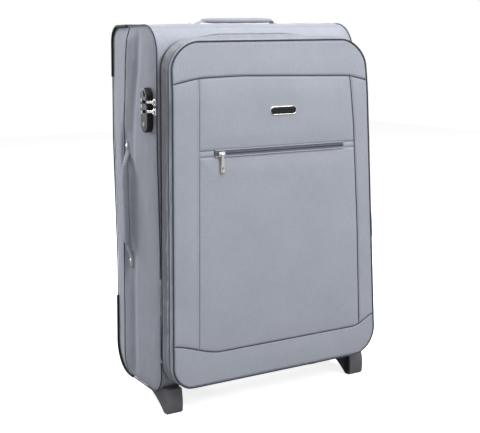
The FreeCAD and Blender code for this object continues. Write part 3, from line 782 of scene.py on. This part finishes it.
def make_lid_walls():
    lid_strip("main_zip_tape_case", [(-3.0, -78.7), (-3.2, -80.6), (-3.2, -82.8)], 0.8,
              "zip_tape", body="case", stands_for=("case_zip_tape",))
    lid_strip("main_zip_tape_lid", [(-3.2, -83.0), (-3.2, -85.2), (-3.0, -88.0)], 0.8,
              "zip_tape", body="lid_wall", stands_for=("lid_zip_tape",))
    bars("main_zip_coil", *lid_path(-2.7, MAIN_ZIP), (1.9, 1.0, 3.2, 1.2), COIL, "case",
         closes=True, slot="zip_tape")
    rear = [(-3.4, -87.2), (-0.8, -87.6), (-0.4, -89.0), (-1.8, -92.5), (-3.2, -97.5),
            (-2.8, -102.0), (-1.0, -106.5), (-0.4, -108.8), (-1.6, -109.9), (-3.6, -109.9)]
    # the rear gusset's cloth is drawn darker: painted crease shade
    lid_strip("rear_gusset_cloth", rear, 1.6, GUSSET_CLOTH_PAINTED_SHADE, wrinkle=1.7, seed=31,
              body="lid_wall", stands_for=("rear_gusset",), slot="side_cloth")
    front = [(-3.6, -114.2), (-1.8, -114.2), (-0.2, -115.2), (0.5, -117.5), (0.6, -120.0),
             (0.4, -122.5), (0.3, -125.0), (-0.2, -126.6), (-1.2, -127.4), (-2.4, -127.2)]
    lid_strip("front_gusset_cloth", front, 1.6, "front_cloth", wrinkle=0.7, seed=41,
              body="lid", stands_for=("front_gusset",))
    lid_strip("let_out_zip_tape_rear", [(-3.2, -108.9), (-3.0, -110.4), (-3.0, -111.8)], 0.8,
              "zip_tape", body="lid_wall")
    lid_strip("let_out_zip_tape_front", [(-3.0, -112.2), (-3.0, -113.6), (-3.2, -115.2)], 0.8,
              "zip_tape", body="lid")
    bars("let_out_zip_coil", *lid_path(-2.4, LET_OUT_ZIP), (1.9, 1.0, 2.4, 1.2), COIL, "lid_wall",
         closes=True, slot="zip_tape")
    path, _ = lid_path(-0.9, -128.0)
    cord("front_edge_cord", path, FRONT, 1.55, "piping_cloth", closes=True, body="lid",
         stands_for=("front_piping",))


# ---------------- the lid's front
def lid_side(z, inset):
    """Left and right ends of the lid's front at height z."""
    share = (z - LID_BOTTOM) / (LID_TOP - LID_BOTTOM)
    top = corner_cut(LID_TOP - inset - z, LID_TOP_RADIUS - inset)
    cut = [np.maximum(corner_cut(z - LID_BOTTOM - inset, LID[k][2] - inset), top) for k in (0, 1)]
    return -239 + 16 * share + inset + cut[0], 243 - 24 * share - inset - cut[1]


# (x), (z) of the seam under the yoke
YOKE_LINE = ([-240, -168, -77, 117, 178, 230], [643, 656.9, 659.0, 653.5, 651.8, 639])


def yoke_seam(x):
    return sum(share * np.interp(x + shift, *YOKE_LINE)
               for share, shift in ((0.5, 0), (0.25, 12), (0.25, -12)))


def band_seam(x):
    return BAND_Z + 26.0 * ease(-x, 130, 245) + 22.0 * ease(x, 185, 245)


def left_seam(z):
    return -181 + (z - 125) * 13 / 534


def right_seam(z):
    return np.interp(z, [59, 122, 348, 551, 654, 732], [203, 201, 196, 187, 178, 172])


def constant(value):
    return lambda other: np.full(np.shape(other), float(value))


def pocket_line(above):
    """The pocket's zip falls slightly to the right; this gives the line that runs so far above
    it."""
    return lambda x: POCKET_ZIP_Z + above - 0.006 * (np.asarray(x, float) - 12)


def front_bulge(x, z):
    """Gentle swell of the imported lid, and the slack that the cloth has over its foam."""
    swell = 1.7 * np.clip(1 - (x / 236) ** 2, 0, 1) * np.clip(1 - ((z - 395) / 338) ** 2, 0, 1)
    return swell + 0.35 * ripple(x, z * 0.6, 190, 51) + 0.12 * ripple(x, z, 60, 52)


def front_piece(name, node, left, right, low, high, rows, cols, puff=1.5, tuck=1.8, lift=0.0):
    """Panel of the lid's front between four seams; its edges turn down into the seams."""
    a, b = np.meshgrid(gathered(rows, 0.6), gathered(cols, 0.6), indexing="ij")
    x = -200 + 400 * b
    for _ in range(5):
        z = low(x) + (high(x) - low(x)) * a
        x = left(z) + (right(z) - left(z)) * b
    near = np.minimum(np.minimum(x - left(z), right(z) - x), np.minimum(z - low(x), high(x) - z))
    rise = 1 - np.exp(-(np.maximum(near, 0) / tuck) ** 1.3)
    y = FACE + 1.4 - (2.0 + lift) * rise - puff * (1 - np.exp(-near / 16)) * 0.5
    y = y - front_bulge(x, z) * ease(near, 0, 30)
    grid = settle(np.stack([x, y, z], -1))
    grid[..., 1] = y + lean(z)
    shell(name, grid, 1.2, FRONT, "front_cloth", uv=np.stack([x, z], -1) / 1000,
          body="lid", stands_for=(node,) if node else ())


def seam_path(u, seam, height, upright=False):
    """Path on the front along a seam: u runs along it, and seam gives the other coordinate."""
    x, z = (seam(u), u) if upright else (u, seam(u))
    y = FACE + 1.4 - height - front_bulge(x, z) * 0.2
    grid = settle(np.stack([x, y, z], -1))
    grid[..., 1] = y + lean(z)
    return grid


def make_front():
    inset = 2.0

    def left_edge(z):
        return lid_side(z, inset)[0]

    def right_edge(z):
        return lid_side(z, inset)[1]

    low_edge, high_edge = constant(LID_BOTTOM + inset + 0.05), constant(LID_TOP - inset - 0.05)
    upper, lower = pocket_line(6.0), pocket_line(-6.0)
    strips = "front_side_strips"
    for panel in (
        ("yoke_cloth", "front_yoke", left_edge, right_edge, yoke_seam, high_edge, 40, 110),
        ("band_lower_cloth", "front_band", left_edge, right_edge, low_edge, band_seam, 40, 110),
        ("left_strip_cloth", strips, left_edge, left_seam, band_seam, yoke_seam, 130, 22),
        ("right_strip_cloth", strips, right_seam, right_edge, band_seam, yoke_seam, 130, 18),
        ("centre_cloth", "front_centre", left_seam, right_seam, upper, yoke_seam, 50, 110),
        ("pocket_cloth", "front_pocket", left_seam, right_seam, band_seam, lower, 110, 110),
    ):
        front_piece(*panel)
    zip_start, zip_end = (constant(x) for x in POCKET_ZIP_ENDS)
    for word, node, left, right in (("left", "pocket_zip", left_seam, zip_start),
                                    ("right", None, zip_end, right_seam)):
        front_piece("pocket_end_" + word, node, left, right, pocket_line(-5.8), pocket_line(5.8),
                    10, 16, puff=0.4, tuck=1.6, lift=-0.6)

    # thin dark cords sewn into the seams: painted seam shade, drawn as thin dark piping
    for name, seam, ends, height, radius in (("yoke_seam_shade_cord", yoke_seam, (-233, 226), 1.5, 0.7),
                                             ("band_seam_shade_cord", band_seam, (-240, 243), 1.2, 0.6)):
        x = np.linspace(*ends, 200)
        x = x[(x > left_edge(seam(x)) + 1) & (x < right_edge(seam(x)) - 1)]
        cord(name, seam_path(x, seam, height), FRONT, radius, "piping_cloth", body="lid")
    # the right seam's dark cord is painted seam shade as well, drawn as thin dark piping
    path = seam_path(np.linspace(BAND_Z + 8, YOKE_Z - 4, 240), right_seam, 1.4, upright=True)
    cord("right_seam_cord", path, FRONT, 0.7, "piping_cloth", body="lid")

    x = np.linspace(*POCKET_ZIP_ENDS, 140)
    wide, z = np.meshgrid(x, np.linspace(-7, 7, 7))
    z = pocket_line(0)(wide) + z
    grid = np.stack([wide, FACE + 0.4 - front_bulge(wide, z) * 0.6, z], -1)
    shell("pocket_zip_tape", grid, 0.8, FRONT, POCKET_TAPE, body="lid", slot="zip_tape")
    for above, word in ((6.3, "upper"), (-6.3, "lower")):
        z = pocket_line(above)(x)
        path = np.c_[x, FACE - 0.5 - front_bulge(x, z) * 0.8, z]
        cord("pocket_welt_" + word, path, FRONT, 1.2, "front_cloth", flat=0.7, body="lid")
    path = np.c_[x, FACE - 0.5 - front_bulge(x, POCKET_ZIP_Z) * 0.6, pocket_line(0)(x)]
    bars("pocket_zip_coil", path, FRONT, (1.7, 0.9, 3.4, 1.4), POCKET_COIL, "lid", slot="zip_tape")


def make_stitching():
    """Lines of stitches beside the seams, about 4 mm from them."""
    for name, seam, ends, above in (("yoke", yoke_seam, (-222, 216), 4.0),
                                    ("band", band_seam, (-234, 238), -4.0)):
        x = np.linspace(*ends, 160)
        left, right = lid_side(seam(x), 6)
        x = x[(x > left) & (x < right)]
        stitches("stitches_" + name, seam_path(x, lambda u: seam(u) + above, 2.2))
    z = np.linspace(BAND_Z + 12, YOKE_Z - 8, 180)
    for name, seam, aside in (("left", left_seam, -4.0), ("right", right_seam, 4.0)):
        stitches("stitches_" + name, seam_path(z, lambda u: seam(u) + aside, 2.2, upright=True))


# ---------------- cloth at the joints, built in one fixed shape
def make_bending_cloth():
    z = np.linspace(127, 666, 90)
    y = np.linspace(-88, -78, 13)[:, None]
    x = lid_side(z, 0)[1] - 1.2             # above and below, the lid's corners curve away
    grid = settle(np.stack(np.broadcast_arrays(x, y, z), -1))
    hinge = shell("hinge_cloth", grid, 0.9, (1, 0, 0), "side_cloth", stands_for=("hinge_strip",))
    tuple(metres([241, -81.5, 395]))
    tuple(metres([241, -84.5, 395]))
    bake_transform(hinge)

    p, n = matched(LID_LINE)
    fold = [(-4.6, -109.4), (-7, -110.2), (-12, -110.9), (-18, -111.4), (-24, -111.8),
            (-28, -112.2), (-24, -112.6), (-18, -113.0), (-12, -113.5), (-7, -114.2), (-4.6, -115.0)]
    out, y = np.array(fold).T[..., None]
    grid = settle(ring_at(p, n, out, y))
    outward = np.zeros_like(grid)
    outward[:6, :, 1] = -1
    outward[6:, :, 1] = 1
    pleat = shell("let_out_pleat", grid, 0.25, outward, "side_cloth", wraps=True,
                  stands_for=("expansion_gusset",))
    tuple(metres([0, -110.6, 400]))
    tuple(metres([0, -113.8, 400]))
    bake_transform(pleat)


def frame_of(origin, along, out, across):
    return (np.array(v, float) for v in (origin, along, out, across))


def strap(name, node, origin, along, out, across, reach, inner):
    """Handle strap from past its rivet to the grip: a flat folded band, rounded at the riveted
    end."""
    u = np.r_[np.linspace(reach + 13.5, reach + 3, 8), np.linspace(reach + 1, inner, 20)]
    lift = 0.4 + 7.6 * ease(-u, -(reach - 6), -(inner + 4))
    past = np.maximum(u - reach - 4, 0)
    half = 10.0 * np.sqrt(np.clip(1 - (past / 9.6) ** 2, 0.03, 1))
    turn = steps(0, 2 * math.pi, 24)
    c, s = np.cos(turn), np.sin(turn)
    wide = np.sign(c) * np.abs(c) ** 0.45
    high = np.sign(s) * np.abs(s) ** 0.8
    origin, along, out, across = frame_of(origin, along, out, across)
    rise = lift[:, None] + 1.3 + 1.3 * high[None, :] - 0.5 * (np.abs(wide) > 0.8)
    rings = (origin + u[:, None, None] * along + rise[..., None] * out
             + (half[:, None] * wide[None, :])[..., None] * across)
    piece = loft(name, rings, "side_cloth", stands_for=(node,))
    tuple(metres(origin + along * (reach - 6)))
    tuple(metres(origin + along * (inner + 6)))
    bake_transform(piece)


def grip(name, node, body, centre, along, out, across):
    """Padded handle grip with a seam down each side and gathered ends."""
    half_length, half_width, half_thick = 82, 12, 5.5
    u = np.linspace(-1, 1, 64)
    turn = steps(0, 2 * math.pi, 40)
    c, s = np.cos(turn), np.sin(turn)
    width = half_width * (1 - 0.42 * np.abs(u) ** 9)
    thick = half_thick * (1 - 0.5 * np.abs(u) ** 8)
    wide = np.sign(c) * np.abs(c) ** 0.75
    high = np.sign(s) * np.abs(s) ** 0.85
    pinch = 1 - 0.10 * np.exp(-(s / 0.22) ** 2)
    centre, along, out, across = frame_of(centre, along, out, across)
    uneven = 0.25 * ripple(u[:, None] * half_length, turn[None, :] * 9, 34, 71)
    rise = (thick[:, None] + uneven) * (high * pinch)[None, :]
    rings = (centre + (u * half_length)[:, None, None] * along + rise[..., None] * out
             + (width[:, None] * wide[None, :])[..., None] * across)
    piece = loft(name, rings, "side_cloth", body=body, stands_for=(node,))
    t = np.linspace(-0.97, 0.97, 120)[:, None]
    for way, word in ((-1, "a"), (1, "b")):
        aside = way * half_width * (1 - 0.42 * np.abs(t) ** 9) * 0.78
        up = half_thick * (1 - 0.5 * np.abs(t) ** 8) * 0.62
        edge = centre + t * half_length * along + across * aside + out * up
        stitches(name + "_stitches_" + word, edge, out + across * way, body)


def make_handles():
    inner = 78              # where the straps meet the grips
    lo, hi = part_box("side_handle_grip")
    y = (lo.y + hi.y) / 2 * 1000
    body, across = "side_carry_handle", (0, 1, 0)
    grip("side_grip", "side_handle_grip", body, (-245.5, y, HANDLE_Z),
         (0, 0, 1), (-1, 0, 0), across)
    for way, word in ((1, "upper"), (-1, "lower")):
        strap("side_strap_" + word, "side_handle_strap", (-CASE_HALF, y, HANDLE_Z),
              (0, 0, way), (-1, 0, 0), across, 118, inner)
    body, shift = "top_carry_handle", 9     # the top grip has slid to the right along its strap
    grip("top_grip", "top_handle_grip", body, (shift, TOP_HANDLE_Y, 767.5),
         (1, 0, 0), (0, 0, 1), across)
    for way, word in ((1, "right"), (-1, "left")):
        strap("top_strap_" + word, "top_handle_strap", (0, TOP_HANDLE_Y, CASE_TOP),
              (way, 0, 0), (0, 0, 1), across, 102, inner + shift * way)


# ---------------- metal and small parts
def rounded_copy(name, node, body, larger=1.0, shift=(0, 0, 0)):
    """Cast-looking plated copy of a CAD part: its edges are softened by a fine remesh, and it's a
    little larger if asked."""
    obj = linked(name, nodes[node].data.copy())
    remesh = obj.modifiers.new("soften", "REMESH")
    remesh.mode = "VOXEL"
    remesh.voxel_size = 0.0003
    remesh.use_smooth_shade = True
    melt = obj.modifiers.new("melt", "SMOOTH")
    melt.factor = 0.5
    melt.iterations = 3
    plain = plain_mesh(name, obj)
    obj.modifiers.clear()
    obj.data = plain
    lo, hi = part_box(node)
    pin = Vector(((lo.x + hi.x) / 2, hi.y, hi.z))
    plain.transform(Matrix.Translation(pin + Vector(shift) / 1000) @ Matrix.Scale(larger, 4)
                    @ Matrix.Translation(-pin))
    plain.materials.clear()
    plain.materials.append(FINISH["plated_metal"])
    settle_in(obj, body, (node,))


def make_metal():
    forward = (0, -0.9, 0)
    for name, node, body, *more in (
        ("pocket_zip_slider", "pocket_slider", "pocket_zip_slider", 1.15, forward),
        ("pocket_zip_pull", "pocket_pull", "pocket_zip_pull", 1.15, forward),
        ("let_out_slider", "expansion_slider", "expansion_zip_slider"),
        ("let_out_pull", "expansion_pull", "expansion_zip_pull"),
        ("main_zip_sliders", "main_sliders", "case"),
        ("main_zip_pull_upper", "main_pull_upper", "upper_pull"),
        ("main_zip_pull_lower", "main_pull_lower", "lower_pull"),
    ):
        rounded_copy(name + "_cast", node, body, *more)


def make_badge():
    """Blank badge: a gloss black plate in a plated rim."""
    corners = [(-16, 580, 8.4), (46, 580, 8.4), (46, 597.2, 8.4), (-16, 597.2, 8.4)]
    base = FACE - front_bulge(15, 588) - 1.2
    p, n = even_walk(outline(corners), 120)

    def rings(*levels):
        out, depth = np.array(levels).T[..., None]
        return ring_at(p, n, out, base + depth)

    rim = rings((0, 0.6), (0, -1.0), (-0.5, -1.6), (-1.3, -1.8), (-1.9, -1.4), (-2.1, -1.0))
    loft("badge_rim", rim, "plated_metal", body="lid", stands_for=("badge",))
    loft("badge_plate", rings((-1.9, 0.2), (-1.9, -1.3), (-2.2, -1.5), (-3.9, -1.62)),
         GLOSS_BLACK, body="lid", slot="lock_black")


# ---------------- inside
def taut_sheet(grid, there=None):
    """Work out a sewn-in sheet's area in square metres, over the squares that there picks if given;
    the area is not kept or used.
    """
    square = np.cross(grid[1:, 1:] - grid[:-1, :-1], grid[1:, :-1] - grid[:-1, 1:])
    area = 0.5e-6 * np.linalg.norm(square, axis=-1)
    area = area.sum() if there is None else area[there].sum()


def make_inside():
    inner = [(-70.5, 45.5, 32.5), (126.5, 45.5, 52.5), (126.5, 749.5, 22.5), (-70.5, 749.5, 47.5)]
    radii = [corner[2] for corner in inner]
    line = outline(inner)
    # the band starts and ends 6.5 mm behind the lining's front
    start = line["spans"][0][0] + radii[0] * math.acos(1 - 6.5 / radii[0])
    end = line["spans"][3][1] - radii[3] * math.acos(1 - 6.5 / radii[3])
    s = np.linspace(start, end, 150)
    x = np.linspace(-LINING_HALF, LINING_HALF, 70)
    p, n = walk(line, s)
    sag = sum(size * ripple(x[None, :], s[:, None], long, seed)
              for size, long, seed in ((0.9, 75, 81), (0.5, 28, 82)))
    sag = sag * np.minimum(1, (LINING_HALF - np.abs(x)) / 20)[None, :]
    grid = across_at(p, n, x, -sag)
    middle = (grid[1:, 1:] + grid[:-1, :-1]) / 2
    tray = (np.abs(middle[..., 0]) < 131) & (middle[..., 1] > 90) & (middle[..., 2] > 700)
    grid = slim(grid)
    piece = shell("lining_band", grid, 0.8, across_at(0 * n, n, 0 * x, -1), "lining_cloth",
                  keep=~tray, body="case", stands_for=("lining",))
    taut_sheet(grid, ~tray)
    for side, word in ((-1, "left"), (1, "right")):
        y, z = side_grid(45.5, 749.5, (-70.5, 126.5), radii, 100, 44)
        y = np.maximum(y, -64)
        sag = 0.9 * ripple(y, z, 75, 83 + side) * ease(y, -64, -40) * (1 - ease(y, 100, 126))
        # a little slope keeps the points at the front from lying on each other
        sloped = y + np.linspace(0, 0.4, y.shape[1])[None, :]
        grid = slim(np.stack([side * (LINING_HALF - sag - 0.5), sloped, z], -1))
        piece = shell("lining_" + word, grid, 0.8, (-side, 0, 0), "lining_cloth",
                      uv=np.stack([y, z], -1) / 1000, body="case")
        taut_sheet(grid)

    # soft cover over the handle's tubes: one low hump up the back
    half = 116
    z = np.linspace(60, 704, 60)[:, None]
    x = np.linspace(-half, half, 48)[None, :]
    edge = ease(half - np.abs(x), 0, 14)
    hump = 29.0 * edge - 1.2 * (1 - np.cos(x / half * math.pi)) + edge * 0.7 * ripple(x, z, 60, 91)
    grid = np.stack(np.broadcast_arrays(x, 125.6 - hump, z), -1)
    piece = shell("tube_cover_cloth", grid, 1.0, FRONT, "lining_cloth", body="case",
                  stands_for=("tube_cover",))
    taut_sheet(grid)

    # the lid's inside: a lining sheet that follows the lid's lean in part
    z = np.linspace(LID_BOTTOM + 4.2, LID_TOP - 4.2, 110)[:, None]
    left, right = lid_side(z, 4.0)
    x = left + (right - left) * np.linspace(0, 1, 80)[None, :]
    z = np.broadcast_to(z, x.shape)
    near = np.minimum(np.minimum(x - left, right - x), np.minimum(z - z[0], z[-1] - z))
    slack = 1.4 * ripple(x, z, 80, 95) + 0.7 * ripple(x, z, 26, 96) + 1.5
    y = -119.6 + slack * ease(near, 0, 25)
    grid = settle(np.stack([x, y, z], -1))
    grid[..., 1] = y + lean(z) * 0.3
    piece = shell("lid_lining_cloth", grid, 0.8, (0, 1, 0), "lining_cloth", body="lid",
                  stands_for=("lid_board",))
    taut_sheet(grid)


# ---------------- stage, light and camera
def white_paper():
    """Floor paper: white to the camera, and grey to the light that it throws back, so that the
    case's sides stay darker."""
    material, tree, skin = new_finish("white_studio_paper", Roughness=1.0, Specular_IOR_Level=0.0)
    seen = add(tree, "ShaderNodeLightPath", None, "Is Camera Ray")
    grain = noise(tree, add(tree, "ShaderNodeTexCoord", None, "Object"), 3.0)
    thrown = mix(tree, grain, linear("9C9C9C"), linear("A2A2A2"))
    colour = mix(tree, seen, thrown, (0.98, 0.98, 0.98, 1))
    tree.links.new(colour, skin.inputs["Base Color"])
    skin.inputs["Emission Color"].default_value = (1, 1, 1, 1)
    tree.links.new(combine(tree, seen, 0.8, "MULTIPLY"), skin.inputs["Emission Strength"])
    return material


def make_stage():
    bpy.ops.mesh.primitive_plane_add(size=9, location=(0, 1.5, 0))
    floor = bpy.context.object
    floor.name = "studio_floor"
    floor.data.materials.append(white_paper())
    world = bpy.data.worlds.new("studio")
    bpy.context.scene.world = world
    world.use_nodes = True
    tree = world.node_tree
    path = add(tree, "ShaderNodeLightPath").outputs
    mirrored = {"Value": path["Is Glossy Ray"], "To Min": 0.14, "To Max": 0.75}
    mirrored = add(tree, "ShaderNodeMapRange", mirrored, "Result")
    strength = combine(tree, mirrored, path["Is Camera Ray"], "MAXIMUM")
    tree.nodes["Background"].inputs["Color"].default_value = (1, 1, 1, 1)
    tree.links.new(strength, tree.nodes["Background"].inputs["Strength"])

    def soft_light(name, place, aim, size, power, tint=(1.0, 1.0, 1.0)):
        lamp = bpy.data.lights.new(name, "AREA")
        lamp.shape = "RECTANGLE"
        lamp.size, lamp.size_y = size
        lamp.energy = power
        lamp.color = tint
        obj = linked(name, lamp)
        obj.location = place
        obj.rotation_euler = (Vector(aim) - Vector(place)).to_track_quat("-Z", "Y").to_euler()

    soft_light("overhead", (0.0, -0.5, 2.5), (0, 0.1, 0.3), (2.6, 2.6), 59, (1.0, 1.0, 0.97))
    soft_light("front_right", (0.9, -2.3, 2.0), (0, 0, 0.62), (1.3, 1.3), 46, (0.98, 0.985, 1.0))
    soft_light("front_left", (-1.9, -2.5, 1.5), (-0.2, 0, 0.6), (0.8, 0.8), 4)
    soft_light("behind_left", (-0.98, 2.45, 1.3), (-0.2, 0.1, 0.45), (0.6, 1.4), 60,
               (0.9, 0.94, 1.0))


def make_camera():
    turn, tilt, roll = math.radians(-29.6284), math.radians(8.3875), math.radians(-0.9555)
    level = math.cos(tilt)
    back = Vector((math.sin(turn) * level, -math.cos(turn) * level, math.sin(tilt)))
    right = Vector((0, 0, 1)).cross(back).normalized()
    up = back.cross(right)
    level_right = right * math.cos(roll) + up * math.sin(roll)
    level_up = up * math.cos(roll) - right * math.sin(roll)
    lens = bpy.data.cameras.new("camera")
    lens.lens, lens.sensor_width, lens.shift_y = 73.18, 36.0, -0.06
    lens.clip_start, lens.clip_end = 0.05, 60
    camera = linked("camera", lens)
    rows = Matrix((level_right, level_up, back)).transposed().to_4x4()
    camera.matrix_world = Matrix.Translation(Vector((-0.0093, 0, 0.4214)) + back * 2.0426) @ rows
    bpy.context.scene.camera = camera
    bpy.context.scene.view_settings.view_transform = "Standard"


make_sides()
make_corner_trims()
make_band()
make_border()
make_lid_walls()
make_front()
make_stitching()
make_bending_cloth()
make_handles()
make_metal()
make_badge()
make_inside()
make_stage()
make_camera()
